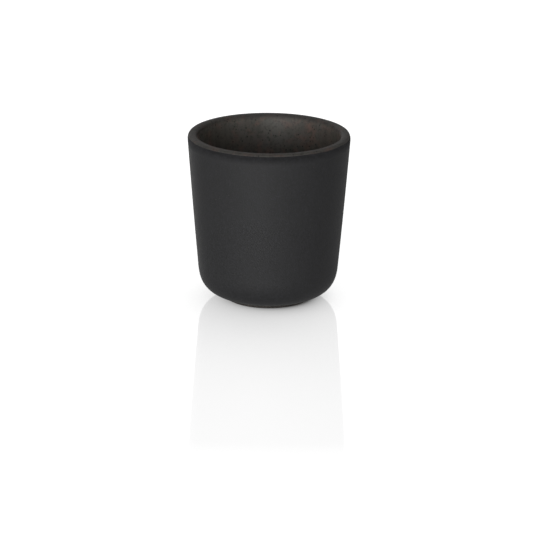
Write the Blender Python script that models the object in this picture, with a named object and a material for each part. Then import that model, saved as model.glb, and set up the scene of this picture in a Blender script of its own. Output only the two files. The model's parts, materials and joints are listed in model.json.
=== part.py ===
"""An empty candle jar: a small round stoneware cup on a foot ring.

The fired clay body carries two glaze coats. A satin lining glaze covers the inside and laps over
the lip. A matt glaze covers the outside and stops at the foot ring, which is left bare so that it
does not stick to the kiln shelf.

Lengths are in metres, +Z is up, and the origin is the middle of the resting face. Run it from
Blender's text editor, or with blender --background --python part.py.
"""

import math

import bmesh
import bpy

# The finished, glazed outside.
HEIGHT = 0.0900
TOP_RADIUS = 0.04324  # the wall's line carried up to the full height, past the lip's rounding
HEEL_RADIUS = 0.0376  # where the wall runs into the rounded heel
HEEL_HEIGHT = 0.0200
WALL_SWELL = 0.00014  # how far the wall bows out, halfway up
HEEL_CENTRE_RADIUS = 0.0150  # where the heel's curve would end, under the foot ring
UNDERSIDE_HEIGHT = 0.0018
HEEL_SQUARENESS = 3.15  # exponent of the heel's curve: 2 is an ellipse, more is squarer

# The lip is a soft shoulder outside and a quarter ellipse inside, which meet at its crown.
LIP_OUTER_WIDTH = 0.0028
LIP_OUTER_DROP = 0.0040
LIP_OUTER_SQUARENESS = 3.0
LIP_INNER_WIDTH = 0.0023
LIP_INNER_DROP = 0.0015

# The inside.
HEEL_WALL = 0.0046  # thickness of the wall at its lower end
FLOOR_THICKNESS = 0.0057
CORNER_WIDTH = 0.0165
CORNER_HEIGHT = 0.0135
CORNER_SQUARENESS = 2.5

# The foot ring, in bare clay.
FOOT_RADIUS = 0.0230
FOOT_WIDTH = 0.0036
FOOT_RECESS = 0.0016
FOOT_EDGE = 0.0005  # rounding of the ring's two lower edges

# The glaze coats.
GLAZE_THICKNESS = 0.0005
GLAZE_LINE = math.radians(48)  # where the two coats meet on the outer lip, from its crown
FIT_GAP = 0.0003  # left between a coat and whatever it touches

# How finely the curves are cut.
SEGMENTS = 64
WALL_STEPS = 3
HEEL_STEPS = 9
LIP_STEPS = 5
CORNER_STEPS = 7
EDGE_STEPS = 2
SMOOTH_ANGLE = math.radians(35)
WELD = 0.000001

CROWN_RADIUS = TOP_RADIUS - LIP_OUTER_WIDTH
WALL_TOP = HEIGHT - LIP_OUTER_DROP
WALL_SLOPE = (TOP_RADIUS - HEEL_RADIUS) / (HEIGHT - HEEL_HEIGHT)
INNER_RIM_RADIUS = CROWN_RADIUS - LIP_INNER_WIDTH
INNER_HEEL_RADIUS = HEEL_RADIUS - HEEL_WALL
FLOOR_HEIGHT = UNDERSIDE_HEIGHT + FLOOR_THICKNESS
CORNER_TOP = FLOOR_HEIGHT + CORNER_HEIGHT
CLAY_INSET = GLAZE_THICKNESS + FIT_GAP


def spaced(start, end, steps):
    """The values from start to end, both included."""
    return [start + (end - start) * i / steps for i in range(steps + 1)]


def superellipse(angle, width, height, squareness):
    """A point on a superellipse's first quarter, from (width, 0) at 0 to (0, height) at 90 degrees."""
    power = 2 / squareness
    return width * math.cos(angle) ** power, height * math.sin(angle) ** power


def heel_point(angle, inset):
    """Radius and height on the heel, inset under the finished surface."""
    across, down = superellipse(
        angle,
        HEEL_RADIUS - HEEL_CENTRE_RADIUS - inset,
        HEEL_HEIGHT - UNDERSIDE_HEIGHT - inset,
        HEEL_SQUARENESS,
    )
    # The curve leaves the wall at the wall's own slope.
    lean = WALL_SLOPE * down * across / (HEEL_RADIUS - HEEL_CENTRE_RADIUS)
    return HEEL_CENTRE_RADIUS + across - lean, HEEL_HEIGHT - down


def heel_angle(radius, inset):
    """The heel's angle at a radius, found by halving."""
    low, high = 0.0, math.pi / 2
    for _ in range(40):
        middle = (low + high) / 2
        if heel_point(middle, inset)[0] > radius:
            low = middle
        else:
            high = middle
    return high


def heel(end_radius, inset):
    """The heel from near the foot ring up to the wall."""
    angles = spaced(heel_angle(end_radius, inset), 0.0, HEEL_STEPS)
    return [heel_point(angle, inset) for angle in angles]


def wall_radius(height):
    """The outside of the wall at a height, with the lip's rounding left out."""
    share = (height - HEEL_HEIGHT) / (HEIGHT - HEEL_HEIGHT)
    return HEEL_RADIUS + share * (TOP_RADIUS - HEEL_RADIUS) + WALL_SWELL * 4 * share * (1 - share)


def outer_wall(inset):
    """The wall above the heel, up to the lip."""
    heights = spaced(HEEL_HEIGHT, WALL_TOP, WALL_STEPS)[1:]
    return [(wall_radius(height) - inset, height) for height in heights]


def outer_lip(inset, start=math.pi / 2, end=0.0):
    """The outer shoulder, between two angles from the crown. It leaves the wall at the wall's slope."""
    points = []
    for angle in spaced(start, end, LIP_STEPS):
        up, across = superellipse(
            angle, LIP_OUTER_DROP - inset, LIP_OUTER_WIDTH - inset, LIP_OUTER_SQUARENESS
        )
        height = WALL_TOP + up
        points.append((wall_radius(height) - LIP_OUTER_WIDTH + across, height))
    return points


def inner_lip(inset):
    """The inner rounding, from just past the crown down to the inside wall."""
    points = []
    for angle in spaced(0.0, math.pi / 2, LIP_STEPS)[1:]:
        radius = CROWN_RADIUS - (LIP_INNER_WIDTH - inset) * math.sin(angle)
        height = HEIGHT - LIP_INNER_DROP + (LIP_INNER_DROP - inset) * math.cos(angle)
        points.append((radius, height))
    return points


def inside(inset):
    """The inside wall's lower end, the corner and the floor, down to the axis."""
    points = []
    for angle in spaced(0.0, math.pi / 2, CORNER_STEPS):
        across, down = superellipse(
            angle, CORNER_WIDTH + inset, CORNER_HEIGHT + inset, CORNER_SQUARENESS
        )
        radius = INNER_HEEL_RADIUS - CORNER_WIDTH + across
        points.append((radius, CORNER_TOP - down))
    return [*points, (0.0, FLOOR_HEIGHT - inset)]


def foot_ring():
    """The underside from the axis outwards: the recess, then the ring and its rounded edges."""
    inner = FOOT_RADIUS - FOOT_WIDTH
    points = [(0.0, FOOT_RECESS), (inner, FOOT_RECESS)]
    for angle in spaced(0.0, math.pi / 2, EDGE_STEPS):
        radius = inner + FOOT_EDGE - FOOT_EDGE * math.cos(angle)
        points.append((radius, FOOT_EDGE - FOOT_EDGE * math.sin(angle)))
    for angle in spaced(math.pi / 2, 0.0, EDGE_STEPS):
        radius = FOOT_RADIUS - FOOT_EDGE + FOOT_EDGE * math.cos(angle)
        points.append((radius, FOOT_EDGE - FOOT_EDGE * math.sin(angle)))
    return points


def clay_body_outline():
    """The clay, from the axis under the foot, up the outside, over the lip and down the inside."""
    return [
        *foot_ring(),
        *heel(FOOT_RADIUS, CLAY_INSET),
        *outer_wall(CLAY_INSET),
        *outer_lip(CLAY_INSET)[1:],
        *inner_lip(CLAY_INSET),
        *inside(CLAY_INSET),
    ]


def lining_glaze_outline():
    """The lining, from the axis up its finished face to the glaze line, and back behind it."""
    gap_angle = FIT_GAP / LIP_OUTER_WIDTH
    line = GLAZE_LINE - gap_angle
    back, face = (
        [*outer_lip(inset, start=line), *inner_lip(inset), *inside(inset)]
        for inset in (GLAZE_THICKNESS, 0.0)
    )
    return [*reversed(face), *back]


def outer_glaze_outline():
    """The outer coat, from the foot ring up its finished face to the glaze line, and back behind it."""
    face, back = (
        [
            *heel(FOOT_RADIUS + FIT_GAP, inset),
            *outer_wall(inset),
            *outer_lip(inset, end=GLAZE_LINE)[1:],
        ]
        for inset in (0.0, GLAZE_THICKNESS)
    )
    return [*face, *reversed(back)]


def turned(name, outline, material, parent):
    """Makes one solid of revolution. An outline that leaves the axis ends on it, any other is a loop."""
    shape = bmesh.new()
    verts = [shape.verts.new((radius, 0.0, height)) for radius, height in outline]
    edges = [shape.edges.new(pair) for pair in zip(verts, verts[1:])]
    if outline[0][0] > 0:
        edges.append(shape.edges.new((verts[-1], verts[0])))
    bmesh.ops.spin(
        shape,
        geom=verts + edges,
        cent=(0, 0, 0),
        axis=(0, 0, 1),
        angle=2 * math.pi,
        steps=SEGMENTS,
        use_merge=True,
    )
    bmesh.ops.remove_doubles(shape, verts=shape.verts, dist=WELD)
    bmesh.ops.recalc_face_normals(shape, faces=shape.faces)
    mesh = bpy.data.meshes.new(name)
    shape.to_mesh(mesh)
    shape.free()
    mesh.shade_smooth()
    mesh.set_sharp_from_angle(angle=SMOOTH_ANGLE)
    mesh.materials.append(material)
    made = bpy.data.objects.new(name, mesh)
    made.parent = parent
    bpy.context.scene.collection.objects.link(made)
    return made


def finish(name, colour, roughness):
    """A non-metal Principled material in one linear colour."""
    material = bpy.data.materials.new(name)
    material.use_nodes = True
    shader = material.node_tree.nodes["Principled BSDF"]
    shader.inputs["Base Color"].default_value = (*colour, 1.0)
    shader.inputs["Roughness"].default_value = roughness
    shader.inputs["Metallic"].default_value = 0.0
    return material


def clear_scene():
    """Removes every object."""
    for old in list(bpy.data.objects):
        bpy.data.objects.remove(old)


def main():
    """Builds the jar."""
    clear_scene()
    jar = bpy.data.objects.new("candle_jar", None)
    bpy.context.scene.collection.objects.link(jar)
    bare_clay = finish("bare_stoneware", (0.060, 0.045, 0.037), 0.85)
    satin = finish("satin_lining_glaze", (0.030, 0.028, 0.024), 0.45)
    matt = finish("matt_outer_glaze", (0.022, 0.022, 0.024), 0.70)
    turned("clay_body", clay_body_outline(), bare_clay, jar)
    turned("lining_glaze", lining_glaze_outline(), satin, jar)
    turned("outer_glaze", outer_glaze_outline(), matt, jar)


main()
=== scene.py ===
"""Makes the finished look of the empty candle jar round its fixed frame, with a studio stage."""

import json
import math

import bmesh
import bpy
from bpy.props import FloatProperty, FloatVectorProperty, PointerProperty
from mathutils import Matrix, Vector, noise

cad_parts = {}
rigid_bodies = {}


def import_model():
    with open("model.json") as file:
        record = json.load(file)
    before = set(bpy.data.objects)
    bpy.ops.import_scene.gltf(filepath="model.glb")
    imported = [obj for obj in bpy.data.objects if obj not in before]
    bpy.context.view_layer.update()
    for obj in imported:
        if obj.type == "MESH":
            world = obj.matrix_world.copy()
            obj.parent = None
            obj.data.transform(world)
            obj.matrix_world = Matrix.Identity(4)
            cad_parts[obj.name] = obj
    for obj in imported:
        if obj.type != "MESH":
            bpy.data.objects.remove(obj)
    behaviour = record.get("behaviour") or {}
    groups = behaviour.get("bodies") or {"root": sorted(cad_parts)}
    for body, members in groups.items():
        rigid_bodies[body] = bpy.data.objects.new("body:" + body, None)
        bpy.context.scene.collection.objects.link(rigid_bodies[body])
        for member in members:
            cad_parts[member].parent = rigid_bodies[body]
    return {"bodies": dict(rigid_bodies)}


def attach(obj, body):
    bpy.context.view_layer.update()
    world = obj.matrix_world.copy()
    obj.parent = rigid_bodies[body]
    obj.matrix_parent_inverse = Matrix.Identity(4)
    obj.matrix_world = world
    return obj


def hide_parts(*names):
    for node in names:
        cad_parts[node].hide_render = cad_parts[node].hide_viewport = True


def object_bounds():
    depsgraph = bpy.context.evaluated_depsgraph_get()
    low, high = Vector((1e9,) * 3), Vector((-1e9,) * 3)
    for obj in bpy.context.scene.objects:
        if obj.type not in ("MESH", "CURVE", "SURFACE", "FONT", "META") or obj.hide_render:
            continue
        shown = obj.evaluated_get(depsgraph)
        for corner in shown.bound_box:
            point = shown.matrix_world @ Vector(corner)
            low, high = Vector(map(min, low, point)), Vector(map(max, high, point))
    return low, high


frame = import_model()
CAD_LOW, CAD_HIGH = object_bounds()

bl_info = {
    "name": "Stoneware Candle Jar",
    "version": (1, 0, 0),
    "blender": (4, 5, 0),
    "location": "3D View > Sidebar > Candle Jar",
    "description": "Models a glazed stoneware candle jar and its studio stage",
    "category": "Add Mesh",
}

MM = 0.001
SEGMENTS = 288  # sides round every turned piece
SMOOTH_ANGLE = math.radians(40)
WELD = 0.0000005

# The studio's soft lights: a name, where each is seen from the jar, in degrees from the camera's side
# towards +X and in degrees up, how tight it is, and its strength.
GLOWS = (
    ("front_left", -38, 6, 60, 10.5),
    ("front", -8, 6, 60, 14.5),
    ("front_right", 45, 6, 60, 6.0),
    ("front_high", 5, 18, 40, 2.8),
    ("left_side", -80, 8, 26, 3.2),
    ("back_left", -150, 8, 26, 2.7),
    ("backdrop", 180, 33, 16, 1.4),
    ("right_overhead", 90, 60, 16, 0.6),
    ("back_overhead", 150, 60, 16, 1.3),
)


def linear(code):
    """The linear colour of an sRGB hex code."""
    values = (int(code[i : i + 2], 16) / 255 for i in (0, 2, 4))
    return tuple(v / 12.92 if v <= 0.04045 else ((v + 0.055) / 1.055) ** 2.4 for v in values)


def per_metre(size_mm):
    """A texture scale whose features are about this many millimetres across."""
    return 1000 / size_mm


# Properties


def length(name, description, default):
    """A length property, in metres."""
    return FloatProperty(
        name=name,
        description=description,
        default=default,
        min=0,
        precision=5,
        subtype="DISTANCE",
        unit="LENGTH",
    )


def colour(name, description, code):
    """A colour property that starts at an sRGB hex code."""
    return FloatVectorProperty(
        name=name,
        description=description,
        default=linear(code),
        min=0,
        max=1,
        size=3,
        subtype="COLOR",
    )


class JarSizes(bpy.types.PropertyGroup):
    """Sizes of the finished jar. Height and rim come from the frame."""

    height: length("Height", "From the table to the top of the lip", CAD_HIGH.z)
    flare: length("Top Flare", "How far the wall's line would pass the widest point, at the top", 0.24 * MM)
    rim_radius: length("Rim Radius", "Widest point of the jar, just under the lip", CAD_HIGH.x)
    heel_radius: length("Heel Radius", "Outside of the wall where the rounded heel begins", 37.6 * MM)
    heel_height: length("Heel Height", "Height where the rounded heel begins", 20 * MM)
    wall_swell: length("Wall Swell", "How far the wall bows out halfway up", 0.14 * MM)
    heel_centre: length("Heel Centre Radius", "Where the heel's curve would end under the foot", 15 * MM)
    underside: length("Underside Height", "Lowest height of the heel's curve", 1.8 * MM)
    lip_out: length("Lip Outer Width", "From the lip's crown to the wall's line", 2.8 * MM)
    lip_out_drop: length("Lip Outer Drop", "Height of the lip's outer shoulder", 4.0 * MM)
    lip_in: length("Lip Inner Width", "From the lip's crown to its inside", 2.3 * MM)
    lip_in_drop: length("Lip Inner Drop", "Height of the lip's inner rounding", 1.5 * MM)
    heel_wall: length("Heel Wall", "Thickness of the wall at its lower end", 4.6 * MM)
    floor: length("Floor Thickness", "From the underside to the inside floor", 5.7 * MM)
    corner_width: length("Corner Width", "Width of the curve from wall to floor inside", 16.5 * MM)
    corner_height: length("Corner Height", "Height of the curve from wall to floor inside", 13.5 * MM)
    foot_radius: length("Foot Radius", "Outside of the foot ring", 23 * MM)
    foot_width: length("Foot Width", "Width of the foot ring", 3.6 * MM)
    foot_recess: length("Foot Recess", "Depth of the hollow inside the foot ring", 1.6 * MM)
    foot_edge: length("Foot Edge", "Rounding of the foot ring's lower edges", 0.5 * MM)
    trimming_pitch: length("Trimming Pitch", "Spacing of the rings trimmed in the recess", 1.4 * MM)
    trimming_depth: length("Trimming Depth", "Depth of those rings", 0.07 * MM)
    glaze: length("Glaze Thickness", "Thickness of each glaze coat", 0.5 * MM)
    bead: length("Glaze Bead", "Height of the outer coat's rounded edge by the foot", 0.35 * MM)
    tuck: length("Glaze Tuck", "How far the coat's hidden back reaches into the clay", 0.05 * MM)
    lap: length("Glaze Lap", "Depth of the step where the lining laps over the outer coat", 0.08 * MM)
    unevenness: length("Unevenness", "How far the hand-finished surface wanders", 0.06 * MM)
    line_wander: length("Line Wander", "How far the glaze line wanders up and down", 0.2 * MM)
    heel_squareness: FloatProperty(
        name="Heel Squareness", description="2 is an ellipse, more is squarer", default=3.15, min=2
    )
    lip_squareness: FloatProperty(
        name="Lip Squareness", description="2 is an ellipse, more is squarer", default=3.0, min=2
    )
    corner_squareness: FloatProperty(
        name="Corner Squareness", description="2 is an ellipse, more is squarer", default=2.5, min=2
    )
    lap_width: FloatProperty(
        name="Lap Width",
        description="How far the lining's rolled edge reaches over the outer coat",
        default=math.radians(3),
        subtype="ANGLE",
        unit="ROTATION",
    )
    glaze_line: FloatProperty(
        name="Glaze Line",
        description="Where the two glazes meet on the outer lip, from its crown",
        default=math.radians(47),
        subtype="ANGLE",
        unit="ROTATION",
    )


class JarColours(bpy.types.PropertyGroup):
    """Colours of the clay and the two glazes."""

    outer: colour("Outer Glaze", "Matt black of the outside", "0a0a0c")
    outer_pale: colour("Outer Pale Areas", "Where the outside coat was sprayed thinner", "0e0e10")
    outer_fleck: colour("Outer Grains", "Paler crystals in the outside coat", "1f1f23")
    thin_glaze: colour("Thin Glaze", "Either coat where it breaks over an edge", "151416")
    lining: colour("Lining Glaze", "Olive black of the inside", "484742")
    lining_warm: colour("Lining Warm Areas", "Browner areas of the lining", "4b4641")
    lining_rust: colour("Lining Rust", "Iron bloom in the lining", "5f4a42")
    lining_speck: colour("Lining Speck", "Dark iron specks in the lining", "1c1a16")
    clay: colour("Bare Clay", "Fired clay of the foot ring", "1d1a17")
    clay_dark: colour("Flashed Clay", "Darker areas of the fired clay", "161311")
    clay_grog: colour("Clay Grog", "Paler grit in the fired clay", "443c36")


class StageSettings(bpy.types.PropertyGroup):
    """The camera, the floor and the lights."""

    elevation: FloatProperty(
        name="Elevation",
        description="Camera's angle above the table",
        default=math.radians(16.9),
        subtype="ANGLE",
        unit="ROTATION",
    )
    roll: FloatProperty(
        name="Roll",
        description="Camera's turn about its own line of sight",
        default=math.radians(0.46),
        subtype="ANGLE",
        unit="ROTATION",
    )
    distance: length("Distance", "From the camera to the middle of the jar", 1.596)
    aim_height: length("Aim Height", "Height of the point that the camera looks at", 15.97 * MM)
    aim_left: length("Aim Left", "How far left of the axis the camera looks", 0.83 * MM)
    lens: FloatProperty(
        name="Focal Length",
        description="Lens in millimetres",
        default=202.6,
        min=1,
        subtype="DISTANCE_CAMERA",
    )
    floor_size: length("Floor Size", "Side of the square floor", 8.0)
    floor: colour("Floor", "White gloss acrylic, as the camera sees it", "c4c4c4")
    floor_bounce: colour("Floor Bounce", "The floor's colour in light thrown on the jar", "6c6c6c")
    floor_glow: FloatProperty(
        name="Floor Glow",
        description="Light from inside the acrylic, well away from the jar",
        default=0.77,
        min=0,
    )
    bounce_glow: FloatProperty(
        name="Bounce Glow",
        description="Light from inside the acrylic that reaches the jar",
        default=0.35,
        min=0,
    )
    # Painted shade: the floor's glow is dimmed near the jar, standing in for the jar's shade on the floor.
    painted_shade_reach: length("Floor Dimming", "How widely the jar dims the acrylic's glow", 6.0 * MM)
    # Painted shadow: the foot's shadow is painted into the floor's glow, a little to the right of the axis.
    painted_foot_shade: length("Foot Shade", "How widely the foot darkens the acrylic close by", 19.2 * MM)
    painted_shade_right: length("Shade Offset", "How far right of the axis that darkening is", 2.0 * MM)
    # Painted light: past the fade the floor glows brighter, which fades out the mirror image.
    fade_start: length("Fade Start", "Distance where the mirror image starts to fade out", 220 * MM)
    fade_end: length("Fade End", "Distance where the mirror image has faded out", 238 * MM)
    painted_fade_glow: FloatProperty(
        name="Fade Glow",
        description="Extra light from the acrylic past the fade",
        default=0.05,
        min=0,
    )
    brightness: FloatProperty(
        name="Brightness", description="Strength of all the soft lights together", default=1.0, min=0
    )


class CandleJar(bpy.types.PropertyGroup):
    """Everything that the operators read."""

    sizes: PointerProperty(type=JarSizes)
    colours: PointerProperty(type=JarColours)
    stage: PointerProperty(type=StageSettings)


# Outlines, as lists of (radius, height)


def spaced(start, end, steps):
    """The values from start to end, both included."""
    return [start + (end - start) * i / steps for i in range(steps + 1)]


def ease(steps):
    """Shares from 0 to 1 that start and end gently."""
    return [t * t * (3 - 2 * t) for t in spaced(0, 1, steps)]


def quarter(squareness, steps):
    """Shares of width and height round a superellipse's first quarter, evenly spread by angle."""
    points = []
    for angle in spaced(0, math.pi / 2, steps):
        across, up = math.cos(angle), math.sin(angle)
        reach = (across**squareness + up**squareness) ** (-1 / squareness)
        points.append((across * reach, up * reach))
    return points


def heel(s, end_radius, inset):
    """The rounded heel, from end_radius under the jar out and up to the wall."""
    width, height = s.heel_radius - s.heel_centre, s.heel_height - s.underside
    slope = (s.rim_radius + s.flare - s.heel_radius) / (s.height - s.heel_height)
    points = []
    for across, down in quarter(s.heel_squareness, 56):
        lean = slope * down * (height - inset) * across
        radius = s.heel_centre + across * (width - inset) - lean
        points.append((radius, s.heel_height - down * (height - inset)))
    outside = [p for p in points if p[0] > end_radius]
    low, high = points[len(outside)], outside[-1]
    share = (end_radius - low[0]) / (high[0] - low[0])
    end = (end_radius, low[1] + share * (high[1] - low[1]))
    return [end, *reversed(outside)]


def wall_radius(s, height):
    """The outside of the wall at a height, with the lip's rounding left out."""
    share = (height - s.heel_height) / (s.height - s.heel_height)
    straight = s.heel_radius + share * (s.rim_radius + s.flare - s.heel_radius)
    return straight + s.wall_swell * 4 * share * (1 - share)


def outer_wall(s, inset):
    """The wall above the heel, up to the lip."""
    heights = spaced(s.heel_height, s.height - s.lip_out_drop, 24)[1:]
    return [(wall_radius(s, height) - inset, height) for height in heights]


def outer_lip(s, inset, angles):
    """The lip's outer shoulder at angles from its crown. It leaves the wall at the wall's slope."""
    points = []
    for angle in angles:
        out, up = math.sin(angle), math.cos(angle)
        reach = (out**s.lip_squareness + up**s.lip_squareness) ** (-1 / s.lip_squareness)
        height = s.height - s.lip_out_drop + up * reach * (s.lip_out_drop - inset)
        radius = wall_radius(s, height) - s.lip_out + out * reach * (s.lip_out - inset)
        points.append((radius, height))
    return points


def inner_lip(s, inset):
    """The lip's inner rounding, from just past its crown to the inside wall."""
    points = []
    crown = s.rim_radius + s.flare - s.lip_out
    for angle in spaced(0, math.pi / 2, 14)[1:]:
        radius = crown - (s.lip_in - inset) * math.sin(angle)
        height = s.height - s.lip_in_drop + (s.lip_in_drop - inset) * math.cos(angle)
        points.append((radius, height))
    return points


def inside(s, inset):
    """The inside wall, its corner and the floor, down to the axis."""
    floor = s.underside + s.floor
    corner_top = floor + s.corner_height
    top_radius = s.rim_radius + s.flare - s.lip_out - s.lip_in + inset
    low_radius = s.heel_radius - s.heel_wall + inset
    top = s.height - s.lip_in_drop
    points = []
    for t in spaced(0, 1, 18)[1:-1]:
        points.append((top_radius + t * (low_radius - top_radius), top + t * (corner_top - top)))
    for across, down in quarter(s.corner_squareness, 28):
        radius = low_radius - inset - s.corner_width + across * (s.corner_width + inset)
        points.append((radius, corner_top - down * (s.corner_height + inset)))
    flat = points[-1][0]
    points += [(flat * share, floor - inset) for share in (0.8, 0.6, 0.4, 0.2, 0.0)]
    return points


def foot_ring(s):
    """The underside from the axis outwards: the trimmed recess, then the ring with its rounded edges."""
    inner = s.foot_radius - s.foot_width
    points = []
    for radius in spaced(0, inner - s.foot_edge, 96)[:-1]:
        turning = 0.5 - 0.5 * math.cos(2 * math.pi * radius / s.trimming_pitch)
        points.append((radius, s.foot_recess - s.trimming_depth * turning))
    for angle in spaced(math.pi / 2, 0, 6):  # a soft turn from the recess into the ring
        radius = inner - s.foot_edge + s.foot_edge * math.cos(angle)
        points.append((radius, s.foot_recess - s.foot_edge + s.foot_edge * math.sin(angle)))
    for angle in spaced(0, math.pi / 2, 6):
        radius = inner + s.foot_edge - s.foot_edge * math.cos(angle)
        points.append((radius, s.foot_edge - s.foot_edge * math.sin(angle)))
    for angle in spaced(math.pi / 2, 0, 6):
        radius = s.foot_radius - s.foot_edge + s.foot_edge * math.cos(angle)
        points.append((radius, s.foot_edge - s.foot_edge * math.sin(angle)))
    return points


def foot_bead(s):
    """The outer coat's rounded lower edge, from the foot ring's side out to the coat's face."""
    face_radius, face_height = heel(s, s.foot_radius + s.glaze, 0)[0]
    points = []
    for angle in spaced(math.pi / 2, 0, 6):
        radius = s.foot_radius + (face_radius - s.foot_radius) * math.cos(angle)
        points.append((radius, face_height - s.bead * math.sin(angle)))
    return points[:-1]


# Modelling and materials


def settle(s, place):
    """Where a point of the perfect shape lies on the hand-finished jar. It wanders in a little from
    the perfect shape, and the edges of the glaze wander up and down."""
    outward = Vector((place.x, place.y, 0))
    wander = 0.5 + 0.35 * noise.noise(place * per_metre(24)) + 0.15 * noise.noise(place * per_metre(7))
    moved = place - outward.normalized() * min(s.unevenness, outward.length) * wander
    # Each edge's height, and how far above and below it the wander reaches.
    lip_edge = (s.height - 1.2 * MM, 1.1 * MM)
    foot_edge = (2.2 * MM, 1.2 * MM)
    for line, reach in (lip_edge, foot_edge):
        share = max(0, 1 - abs(place.z - line) / reach)
        moved.z += s.line_wander * share * noise.noise(place * per_metre(9))
    return moved


def turn(name, outline, s):
    """Spins an outline into a closed piece. An outline that starts off the axis is closed as a loop."""
    shape = bmesh.new()
    verts = [shape.verts.new((radius, 0, height)) for radius, height in outline]
    edges = [shape.edges.new(pair) for pair in zip(verts, verts[1:])]
    if outline[0][0] > 0:
        edges.append(shape.edges.new((verts[-1], verts[0])))
    bmesh.ops.spin(
        shape,
        geom=verts + edges,
        cent=(0, 0, 0),
        axis=(0, 0, 1),
        angle=2 * math.pi,
        steps=SEGMENTS,
        use_merge=True,
    )
    bmesh.ops.remove_doubles(shape, verts=shape.verts, dist=WELD)
    bmesh.ops.recalc_face_normals(shape, faces=shape.faces)
    for vert in shape.verts:
        vert.co = settle(s, vert.co)
    mesh = bpy.data.meshes.new(name)
    shape.to_mesh(mesh)
    shape.free()
    mesh.shade_smooth()
    mesh.set_sharp_from_angle(angle=SMOOTH_ANGLE)
    made = bpy.data.objects.new(name, mesh)
    bpy.context.scene.collection.objects.link(made)
    return made


def dress(piece, node, material):
    """Puts a finished piece in its CAD node's place: gives it its material, hangs it on the record's first
    body and hides the CAD node.
    """
    piece.data.materials.append(material)
    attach(piece, next(iter(frame["bodies"])))
    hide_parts(node)


def add(tree, kind, inputs=None, outputs=None, **settings):
    """Adds a node, with its settings, a value or a link for each input, and a link for each output."""
    made = tree.nodes.new(kind)
    for key, value in settings.items():
        setattr(made, key, value)
    for key, value in (inputs or {}).items():
        if isinstance(value, bpy.types.NodeSocket):
            tree.links.new(value, made.inputs[key])
        else:
            made.inputs[key].default_value = value
    for key, socket in (outputs or {}).items():
        tree.links.new(made.outputs[key], socket)
    return made


def new_material(name):
    """An empty node material and the Principled shader that it ends in."""
    material = bpy.data.materials.new(name)
    material.use_nodes = True
    tree = material.node_tree
    tree.nodes.clear()
    output = add(tree, "ShaderNodeOutputMaterial")
    shader = add(tree, "ShaderNodeBsdfPrincipled", {"Metallic": 0.0}, {0: output.inputs["Surface"]})
    return material, tree, shader


def speckle(tree, place, spacing_mm, radius_mm):
    """Round specks, one to a cell: full inside the radius, and none past twice the radius."""
    cells = add(tree, "ShaderNodeTexVoronoi", {"Vector": place, "Scale": per_metre(spacing_mm)})
    share = radius_mm / spacing_mm
    return add(
        tree,
        "ShaderNodeMapRange",
        {
            "Value": cells.outputs["Distance"],
            "From Min": share,
            "From Max": 2 * share,
            "To Min": 1.0,
            "To Max": 0.0,
        },
    ).outputs["Result"]


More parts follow.
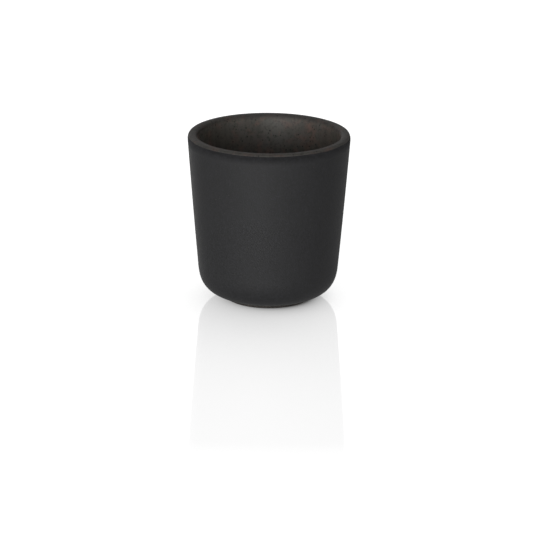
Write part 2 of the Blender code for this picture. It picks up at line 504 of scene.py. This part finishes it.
def matt_glaze(c):
    """Sprayed matt stoneware glaze. Crystals too small to see scatter the light, so it reads as a
    dull blue-black with a sandy tooth, a few pinholes and no mirror image. It is driest on the
    shoulder under the lip, and thins there and at its edge by the foot."""
    material, tree, shader = new_material("matt_black_stoneware_glaze")
    shader.inputs["IOR"].default_value = 1.5
    place = add(tree, "ShaderNodeTexCoord").outputs["Object"]
    height = add(tree, "ShaderNodeSeparateXYZ", {"Vector": place}).outputs["Z"]
    # The real crystals are under 0.1 mm. The tooth and the grains are drawn coarse enough to show.
    tooth = add(
        tree,
        "ShaderNodeTexNoise",
        {"Vector": place, "Scale": per_metre(0.9), "Detail": 3.0, "Roughness": 0.6},
    ).outputs["Fac"]
    grains = add(
        tree,
        "ShaderNodeTexNoise",
        {"Vector": place, "Scale": per_metre(1.7), "Detail": 4.0, "Roughness": 0.75},
    ).outputs["Fac"]
    spray = add(
        tree,
        "ShaderNodeTexNoise",
        {"Vector": place, "Scale": per_metre(14), "Detail": 3.0, "Roughness": 0.5},
    ).outputs["Fac"]
    sprayed = add(
        tree, "ShaderNodeMapRange", {"Value": spray, "From Min": 0.35, "From Max": 0.65}
    ).outputs["Result"]
    ground = add(
        tree,
        "ShaderNodeMix",
        {0: sprayed, 6: (*c.outer, 1), 7: (*c.outer_pale, 1)},
        data_type="RGBA",
    ).outputs[2]
    grainy = add(
        tree,
        "ShaderNodeMapRange",
        {"Value": grains, "From Min": 0.45, "From Max": 0.7, "To Max": 0.7},
    ).outputs["Result"]
    sandy = add(
        tree, "ShaderNodeMix", {0: grainy, 6: ground, 7: (*c.outer_fleck, 1)}, data_type="RGBA"
    ).outputs[2]
    flecked = add(
        tree,
        "ShaderNodeMix",
        {0: speckle(tree, place, 2.9, 0.17), 6: sandy, 7: (*c.outer_fleck, 1)},
        data_type="RGBA",
    ).outputs[2]
    pinholes = speckle(tree, place, 4.3, 0.16)
    pitted = add(
        tree,
        "ShaderNodeMix",
        {0: pinholes, 6: flecked, 7: (*c.lining_speck, 1)},
        data_type="RGBA",
    ).outputs[2]
    # The glaze runs thin along two wandering lines, under the lip and above the foot.
    drift = add(
        tree,
        "ShaderNodeMapRange",
        {"Value": spray, "From Min": 0.3, "From Max": 0.7, "To Min": -0.5 * MM, "To Max": 0.5 * MM},
    ).outputs["Result"]
    level = add(tree, "ShaderNodeMath", {0: height, 1: drift}, operation="ADD").outputs["Value"]
    near_lip = add(
        tree,
        "ShaderNodeMapRange",
        {
            "Value": level,
            "From Min": CAD_HIGH.z - 2.2 * MM,
            "From Max": CAD_HIGH.z - 0.9 * MM,
            "To Max": 0.4,
        },
    ).outputs["Result"]
    near_foot = add(
        tree,
        "ShaderNodeMapRange",
        {"Value": level, "From Min": 4.4 * MM, "From Max": 2.6 * MM, "To Max": 0.6},
    ).outputs["Result"]
    thin = add(
        tree, "ShaderNodeMath", {0: near_lip, 1: near_foot}, operation="MAXIMUM"
    ).outputs["Value"]
    add(
        tree,
        "ShaderNodeMix",
        {0: thin, 6: pitted, 7: (*c.thin_glaze, 1)},
        {2: shader.inputs["Base Color"]},
        data_type="RGBA",
    )
    matt = add(
        tree,
        "ShaderNodeMapRange",
        {"Value": grains, "From Min": 0.3, "From Max": 0.7, "To Min": 0.55, "To Max": 0.67},
    ).outputs["Result"]
    shoulder = add(
        tree,
        "ShaderNodeMapRange",
        {"Value": level, "From Min": CAD_HIGH.z - 6 * MM, "From Max": CAD_HIGH.z - 2.5 * MM},
    ).outputs["Result"]
    add(
        tree,
        "ShaderNodeMix",
        {0: shoulder, 2: matt, 3: 0.95},
        {0: shader.inputs["Roughness"]},
    )
    relief = add(
        tree,
        "ShaderNodeMath",
        {0: pinholes, 1: -1.5, 2: tooth},
        operation="MULTIPLY_ADD",
    ).outputs["Value"]
    add(
        tree,
        "ShaderNodeBump",
        {"Strength": 0.7, "Distance": 0.14 * MM, "Height": relief},
        {0: shader.inputs["Normal"]},
    )
    return material


def satin_glaze(c):
    """Poured satin glaze over iron-bearing clay. It shows an olive brown-black with rust blooms,
    dark iron specks and faint runs down the wall, under a soft shine. It is glossier where it has
    pooled on the floor, and dry and matt on the lip, where it ran thin."""
    material, tree, shader = new_material("satin_brown_black_lining_glaze")
    shader.inputs["IOR"].default_value = 1.45
    place = add(tree, "ShaderNodeTexCoord").outputs["Object"]
    height = add(tree, "ShaderNodeSeparateXYZ", {"Vector": place}).outputs["Z"]
    upright = add(
        tree, "ShaderNodeMapping", {"Vector": place, "Scale": (1, 1, 0.2)}
    ).outputs["Vector"]
    runs = add(
        tree,
        "ShaderNodeTexNoise",
        {"Vector": upright, "Scale": per_metre(3.5), "Detail": 3.0, "Roughness": 0.6},
    ).outputs["Fac"]
    cloud = add(
        tree,
        "ShaderNodeTexNoise",
        {"Vector": place, "Scale": per_metre(13), "Detail": 3.0, "Roughness": 0.55},
    ).outputs["Fac"]
    bloom = add(
        tree,
        "ShaderNodeTexNoise",
        {"Vector": place, "Scale": per_metre(5.5), "Detail": 4.0, "Roughness": 0.6},
    ).outputs["Fac"]
    ripple = add(
        tree,
        "ShaderNodeTexNoise",
        {"Vector": place, "Scale": per_metre(1.4), "Detail": 3.0, "Roughness": 0.6},
    ).outputs["Fac"]
    clouded = add(
        tree, "ShaderNodeMapRange", {"Value": cloud, "From Min": 0.35, "From Max": 0.65}
    ).outputs["Result"]
    ground = add(
        tree,
        "ShaderNodeMix",
        {0: clouded, 6: (*c.lining, 1), 7: (*c.lining_warm, 1)},
        data_type="RGBA",
    ).outputs[2]
    streaks = add(
        tree,
        "ShaderNodeMapRange",
        {"Value": runs, "From Min": 0.45, "From Max": 0.75, "To Max": 0.3},
    ).outputs["Result"]
    streaked = add(
        tree, "ShaderNodeMix", {0: streaks, 6: ground, 7: (*c.lining_speck, 1)}, data_type="RGBA"
    ).outputs[2]
    rust = add(
        tree,
        "ShaderNodeMapRange",
        {"Value": bloom, "From Min": 0.5, "From Max": 0.7, "To Max": 0.7},
    ).outputs["Result"]
    rusty = add(
        tree, "ShaderNodeMix", {0: rust, 6: streaked, 7: (*c.lining_rust, 1)}, data_type="RGBA"
    ).outputs[2]
    mottling = add(
        tree,
        "ShaderNodeMapRange",
        {"Value": ripple, "From Min": 0.5, "From Max": 0.72, "To Max": 0.6},
    ).outputs["Result"]
    mottled = add(
        tree, "ShaderNodeMix", {0: mottling, 6: rusty, 7: (*c.lining_speck, 1)}, data_type="RGBA"
    ).outputs[2]
    specked = add(
        tree,
        "ShaderNodeMix",
        {0: speckle(tree, place, 2.6, 0.28), 6: mottled, 7: (*c.lining_speck, 1)},
        data_type="RGBA",
    ).outputs[2]
    pool = add(
        tree,
        "ShaderNodeMapRange",
        {"Value": height, "From Min": 16 * MM, "From Max": 7 * MM, "To Max": 0.5},
    ).outputs["Result"]
    pooled = add(
        tree, "ShaderNodeMix", {0: pool, 6: specked, 7: (*c.lining_speck, 1)}, data_type="RGBA"
    ).outputs[2]
    lip = add(
        tree,
        "ShaderNodeMapRange",
        {"Value": height, "From Min": CAD_HIGH.z - 3 * MM, "From Max": CAD_HIGH.z - 1 * MM},
    ).outputs["Result"]
    lip_tone = add(
        tree, "ShaderNodeMath", {0: lip, 1: 0.45}, operation="MULTIPLY"
    ).outputs["Value"]
    add(
        tree,
        "ShaderNodeMix",
        {0: lip_tone, 6: pooled, 7: (*c.thin_glaze, 1)},
        {2: shader.inputs["Base Color"]},
        data_type="RGBA",
    )
    satin = add(
        tree,
        "ShaderNodeMapRange",
        {"Value": ripple, "From Min": 0.3, "From Max": 0.7, "To Min": 0.37, "To Max": 0.47},
    ).outputs["Result"]
    glossier = add(
        tree, "ShaderNodeMath", {0: pool, 1: -0.2, 2: satin}, operation="MULTIPLY_ADD"
    ).outputs["Value"]
    add(
        tree,
        "ShaderNodeMix",
        {0: lip, 2: glossier, 3: 0.8},
        {0: shader.inputs["Roughness"]},
    )
    add(
        tree,
        "ShaderNodeBump",
        {"Strength": 0.5, "Distance": 0.08 * MM, "Height": ripple},
        {0: shader.inputs["Normal"]},
    )
    return material


def bare_stoneware(c):
    """Unglazed fired black stoneware: dry and gritty, with paler brown grains of grog."""
    material, tree, shader = new_material("bare_grogged_stoneware")
    place = add(tree, "ShaderNodeTexCoord").outputs["Object"]
    grit = add(
        tree,
        "ShaderNodeTexNoise",
        {"Vector": place, "Scale": per_metre(0.9), "Detail": 4.0, "Roughness": 0.65},
    ).outputs["Fac"]
    flame = add(
        tree, "ShaderNodeTexNoise", {"Vector": place, "Scale": per_metre(9), "Detail": 2.0}
    ).outputs["Fac"]
    flashed = add(
        tree, "ShaderNodeMapRange", {"Value": flame, "From Min": 0.35, "From Max": 0.65}
    ).outputs["Result"]
    ground = add(
        tree,
        "ShaderNodeMix",
        {0: flashed, 6: (*c.clay, 1), 7: (*c.clay_dark, 1)},
        data_type="RGBA",
    ).outputs[2]
    sand = add(
        tree,
        "ShaderNodeMapRange",
        {"Value": grit, "From Min": 0.45, "From Max": 0.75, "To Max": 0.6},
    ).outputs["Result"]
    gritty = add(
        tree, "ShaderNodeMix", {0: sand, 6: ground, 7: (*c.clay_grog, 1)}, data_type="RGBA"
    ).outputs[2]
    grog = speckle(tree, place, 1.7, 0.2)
    add(
        tree,
        "ShaderNodeMix",
        {0: grog, 6: gritty, 7: (*c.clay_grog, 1)},
        {2: shader.inputs["Base Color"]},
        data_type="RGBA",
    )
    add(
        tree,
        "ShaderNodeMapRange",
        {"Value": grit, "From Min": 0.3, "From Max": 0.7, "To Min": 0.78, "To Max": 0.92},
        {0: shader.inputs["Roughness"]},
    )
    raised = add(tree, "ShaderNodeMath", {0: grit, 1: grog}, operation="ADD").outputs["Value"]
    add(
        tree,
        "ShaderNodeBump",
        {"Strength": 0.5, "Distance": 0.08 * MM, "Height": raised},
        {0: shader.inputs["Normal"]},
    )
    return material


# Operators


class CANDLEJAR_OT_clay_body(bpy.types.Operator):
    """Models the fired clay body with its foot ring"""

    bl_idname = "candle_jar.clay_body"
    bl_label = "Clay Body"

    def execute(self, context):
        """Turns the clay under both coats."""
        s = context.scene.candle_jar.sizes
        outline = [
            *foot_ring(s),
            *heel(s, s.foot_radius, s.glaze),
            *outer_wall(s, s.glaze),
            *outer_lip(s, s.glaze, spaced(math.pi / 2, 0, 20))[1:],
            *inner_lip(s, s.glaze),
            *inside(s, s.glaze),
        ]
        piece = turn("fired_clay_body", outline, s)
        dress(piece, "clay_body", bare_stoneware(context.scene.candle_jar.colours))
        return {"FINISHED"}


class CANDLEJAR_OT_lining_glaze(bpy.types.Operator):
    """Models the satin glaze that lines the jar and laps over its lip"""

    bl_idname = "candle_jar.lining_glaze"
    bl_label = "Lining Glaze"

    def execute(self, context):
        """Turns the lining from its finished face to its back, with a rolled edge at the glaze line."""
        s = context.scene.candle_jar.sizes
        roll = [
            outer_lip(s, s.lap * share**2, [s.glaze_line + s.lap_width * share])[0]
            for share in (1.0, 0.8, 0.55, 0.25)
        ]
        angles = spaced(s.glaze_line, 0, 14)
        face = [*roll, *outer_lip(s, 0, angles), *inner_lip(s, 0), *inside(s, 0)]
        back = [*outer_lip(s, s.glaze, angles), *inner_lip(s, s.glaze), *inside(s, s.glaze)]
        piece = turn("satin_lining", [*reversed(face), *back], s)
        dress(piece, "lining_glaze", satin_glaze(context.scene.candle_jar.colours))
        return {"FINISHED"}


class CANDLEJAR_OT_outer_glaze(bpy.types.Operator):
    """Models the matt glaze on the outside"""

    bl_idname = "candle_jar.outer_glaze"
    bl_label = "Outer Glaze"

    def execute(self, context):
        """Turns the coat from the foot ring to the glaze line, and back behind it."""
        s = context.scene.candle_jar.sizes
        under = s.glaze_line + s.lap_width
        sink_start = 1.2 * under  # from here up the coat sinks under the lining's rolled edge
        sink = [
            outer_lip(s, s.lap * share, [angle])[0]
            for share, angle in zip(ease(6), spaced(sink_start, under, 6))
        ]
        face = [
            *foot_bead(s),
            *heel(s, s.foot_radius + s.glaze, 0),
            *outer_wall(s, 0),
            *outer_lip(s, 0, spaced(math.pi / 2, sink_start, 14))[1:-1],
            *sink,
            *outer_lip(s, s.lap, [s.glaze_line]),
        ]
        back = [
            (s.foot_radius - s.tuck, foot_bead(s)[0][1] + s.tuck),
            *heel(s, s.foot_radius - s.tuck, s.glaze),
            *outer_wall(s, s.glaze),
            *outer_lip(s, s.glaze, spaced(math.pi / 2, s.glaze_line, 12))[1:],
        ]
        piece = turn("matt_outer_coat", [*face, *reversed(back)], s)
        dress(piece, "outer_glaze", matt_glaze(context.scene.candle_jar.colours))
        return {"FINISHED"}


class CANDLEJAR_OT_stage(bpy.types.Operator):
    """Builds the white floor, the soft lights and the camera"""

    bl_idname = "candle_jar.stage"
    bl_label = "Studio Stage"

    def execute(self, context):
        """Makes each part of the stage."""
        settings = context.scene.candle_jar.stage
        make_floor(settings)
        make_surround(context.scene, settings)
        make_camera(context.scene, settings)
        context.scene.view_settings.view_transform = "Standard"
        return {"FINISHED"}


def make_floor(settings):
    """A sheet of white gloss acrylic, lit from inside, that mirrors the jar softly. Its glow, as the camera
    sees it, has painted shade round the jar, a painted shadow by the foot and a painted brightening far
    out.
    """
    shape = bmesh.new()
    bmesh.ops.create_grid(shape, x_segments=1, y_segments=1, size=settings.floor_size / 2)
    mesh = bpy.data.meshes.new("acrylic_floor")
    shape.to_mesh(mesh)
    shape.free()
    floor = bpy.data.objects.new("acrylic_floor", mesh)
    bpy.context.scene.collection.objects.link(floor)
    material, tree, shader = new_material("white_gloss_acrylic")
    shader.inputs["Roughness"].default_value = 0.04
    shader.inputs["IOR"].default_value = 1.8  # more gloss than clear acrylic's 1.49, for a clear mirror
    shader.inputs["Emission Color"].default_value = (1, 1, 1, 1)
    # The camera sees a white, glowing sheet, and the jar gets only a dim light back from it.
    seen = add(tree, "ShaderNodeLightPath").outputs["Is Camera Ray"]
    add(
        tree,
        "ShaderNodeMix",
        {0: seen, 6: (*settings.floor_bounce, 1), 7: (*settings.floor, 1)},
        {2: shader.inputs["Base Color"]},
        data_type="RGBA",
    )
    place = add(tree, "ShaderNodeTexCoord").outputs["Object"]
    away = add(tree, "ShaderNodeVectorMath", {0: place}, operation="LENGTH").outputs["Value"]
    # Painted shade: the glow falls off towards the jar, standing in for the shade that the jar casts on the
    # floor.
    painted_jar_shade = add(
        tree, "ShaderNodeMath", {0: settings.painted_shade_reach, 1: away}, operation="DIVIDE"
    ).outputs["Value"]
    # Close to the foot a painted shadow darkens the sheet's glow; it lies a little to the right.
    close = add(
        tree,
        "ShaderNodeVectorMath",
        {0: place, 1: (settings.painted_shade_right, 0, 0)},
        operation="DISTANCE",
    ).outputs["Value"]
    nearness = add(
        tree, "ShaderNodeMath", {0: settings.painted_foot_shade, 1: close}, operation="DIVIDE"
    ).outputs["Value"]
    shade = add(tree, "ShaderNodeMath", {0: nearness, 1: 6.0}, operation="POWER").outputs["Value"]
    # Painted light: far from the jar the glow is raised to outshine what is left of the mirror image.
    glow_with_painted_fade = add(
        tree,
        "ShaderNodeMapRange",
        {
            "Value": away,
            "From Min": settings.fade_start,
            "From Max": settings.fade_end,
            "To Min": settings.floor_glow,
            "To Max": settings.floor_glow + settings.painted_fade_glow,
        },
    ).outputs["Result"]
    open_glow = add(
        tree, "ShaderNodeMath", {0: glow_with_painted_fade, 1: painted_jar_shade}, operation="SUBTRACT"
    ).outputs["Value"]
    glow = add(
        tree,
        "ShaderNodeMath",
        {0: open_glow, 1: shade},
        operation="SUBTRACT",
        use_clamp=True,
    ).outputs["Value"]
    add(
        tree,
        "ShaderNodeMix",
        {0: seen, 2: settings.bounce_glow, 3: glow},
        {0: shader.inputs["Emission Strength"]},
    )
    mesh.materials.append(material)


def make_surround(scene, settings):
    """A white studio whose walls glow softly where each of the lights is."""
    world = bpy.data.worlds.new("studio_surround")
    world.use_nodes = True
    tree = world.node_tree
    tree.nodes.clear()
    direction = add(tree, "ShaderNodeTexCoord").outputs["Generated"]
    light = 0.0
    for name, azimuth, elevation, tightness, strength in GLOWS:
        a, e = math.radians(azimuth), math.radians(elevation)
        towards = (math.sin(a) * math.cos(e), -math.cos(a) * math.cos(e), math.sin(e))
        facing = add(
            tree, "ShaderNodeVectorMath", {0: direction, 1: towards}, operation="DOT_PRODUCT"
        ).outputs["Value"]
        front = add(tree, "ShaderNodeMath", {0: facing, 1: 0.0}, operation="MAXIMUM").outputs["Value"]
        soft = add(
            tree,
            "ShaderNodeMath",
            {0: front, 1: float(tightness)},
            operation="POWER",
            label=name,
        ).outputs["Value"]
        light = add(
            tree,
            "ShaderNodeMath",
            {0: soft, 1: strength * settings.brightness, 2: light},
            operation="MULTIPLY_ADD",
        ).outputs["Value"]
    lighting = add(tree, "ShaderNodeBackground", {"Color": (1, 1, 1, 1), "Strength": light})
    backdrop = add(tree, "ShaderNodeBackground", {"Color": (1, 1, 1, 1), "Strength": 1.0})
    seen = add(tree, "ShaderNodeLightPath").outputs["Is Camera Ray"]
    both = add(
        tree,
        "ShaderNodeMixShader",
        {0: seen, 1: lighting.outputs["Background"], 2: backdrop.outputs["Background"]},
    )
    add(tree, "ShaderNodeOutputWorld", {"Surface": both.outputs["Shader"]})
    scene.world = world


def make_camera(scene, settings):
    """A long lens that looks slightly down on the jar."""
    data = bpy.data.cameras.new("camera")
    data.sensor_width = 36
    data.lens = settings.lens
    data.clip_end = 30
    camera = bpy.data.objects.new("camera", data)
    e = settings.elevation
    back = Vector((0, -math.cos(e), math.sin(e)))
    place = Vector((0, 0, CAD_HIGH.z / 2)) + back * settings.distance
    aim = Vector((-settings.aim_left, 0, settings.aim_height))
    turned = (aim - place).to_track_quat("-Z", "Y").to_matrix().to_4x4()
    camera.matrix_world = Matrix.Translation(place) @ turned @ Matrix.Rotation(settings.roll, 4, "Z")
    scene.collection.objects.link(camera)
    scene.camera = camera


class CANDLEJAR_PT_panel(bpy.types.Panel):
    """Lists the jar's operators and settings"""

    bl_label = "Candle Jar"
    bl_space_type = "VIEW_3D"
    bl_region_type = "UI"
    bl_category = "Candle Jar"

    def draw(self, context):
        """Draws a button for each operator, then the sizes and colours."""
        for operator in OPERATORS:
            self.layout.operator(operator.bl_idname)
        jar = context.scene.candle_jar
        for group in (jar.sizes, jar.colours, jar.stage):
            column = self.layout.column(align=True)
            for key in group.__annotations__:
                column.prop(group, key)


OPERATORS = (
    CANDLEJAR_OT_clay_body,
    CANDLEJAR_OT_lining_glaze,
    CANDLEJAR_OT_outer_glaze,
    CANDLEJAR_OT_stage,
)
CLASSES = (JarSizes, JarColours, StageSettings, CandleJar, *OPERATORS, CANDLEJAR_PT_panel)


def register():
    """Registers the classes and the scene's settings."""
    for cls in CLASSES:
        bpy.utils.register_class(cls)
    bpy.types.Scene.candle_jar = PointerProperty(type=CandleJar)


def unregister():
    """Removes the settings and the classes."""
    del bpy.types.Scene.candle_jar
    for cls in reversed(CLASSES):
        bpy.utils.unregister_class(cls)


def main():
    """Builds every piece and the stage."""
    register()
    bpy.ops.candle_jar.clay_body()
    bpy.ops.candle_jar.lining_glaze()
    bpy.ops.candle_jar.outer_glaze()
    bpy.ops.candle_jar.stage()


if __name__ == "__main__":
    main()
